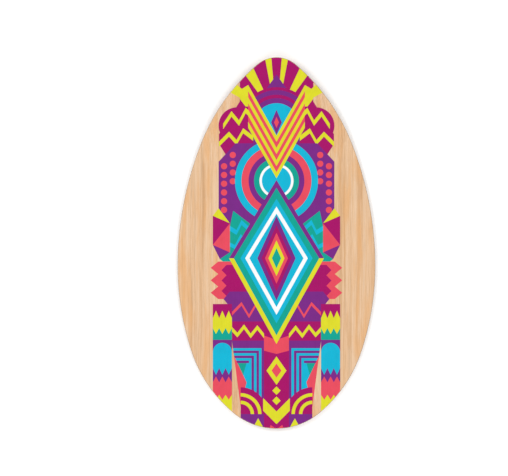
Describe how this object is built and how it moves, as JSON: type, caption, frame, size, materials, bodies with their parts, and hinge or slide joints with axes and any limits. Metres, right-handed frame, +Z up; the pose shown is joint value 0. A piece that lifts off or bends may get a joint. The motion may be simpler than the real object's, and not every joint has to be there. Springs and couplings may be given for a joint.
{
  "type": "skimboard",
  "caption": "Egg-shaped laminated wooden skimboard with a gently upturned nose and tail, rounded rim, flat running surface and a bright geometric print on the deck.",
  "frame": {"origin": "under the middle of the plan outline, at the height of the flat running surface", "axes": "+Y points to the nose along the board, +X to the side, +Z up through the deck"},
  "size_m": [0.475, 0.89, 0.0313],
  "materials": {
    "deck_veneer": "straight-grained pale face veneer, grain along the board, clear gloss varnish",
    "base_veneer": "pale face veneer, grain along the board, clear gloss varnish",
    "cross_veneer": "veneer with its grain across the board, so the rim shows end grain, sealed by varnish",
    "core_veneer": "veneer with its grain along the board, sealed by varnish at the rim",
    "glue": "cured wood glue, seen as thin dark lines at the rim",
    "magenta_ink": "screen-print ink under clear gloss varnish",
    "purple_ink": "screen-print ink under clear gloss varnish",
    "cyan_ink": "screen-print ink under clear gloss varnish",
    "teal_ink": "screen-print ink under clear gloss varnish",
    "coral_ink": "screen-print ink under clear gloss varnish",
    "yellow_ink": "screen-print ink under clear gloss varnish",
    "white_ink": "screen-print ink under clear gloss varnish"
  },
  "bodies": {
    "root": {"top_face_veneer": "deck_veneer", "bottom_face_veneer": "base_veneer", "upper_crossband": "cross_veneer", "centre_crossband": "cross_veneer", "lower_crossband": "cross_veneer", "upper_core_veneer": "core_veneer", "lower_core_veneer": "core_veneer", "glue_line_1": "glue", "glue_line_2": "glue", "glue_line_3": "glue", "glue_line_4": "glue", "glue_line_5": "glue", "glue_line_6": "glue", "magenta_ink": "magenta_ink", "purple_ink": "purple_ink", "cyan_ink": "cyan_ink", "teal_ink": "teal_ink", "coral_ink": "coral_ink", "yellow_ink": "yellow_ink", "white_ink": "white_ink"}
  },
  "joints": []
}
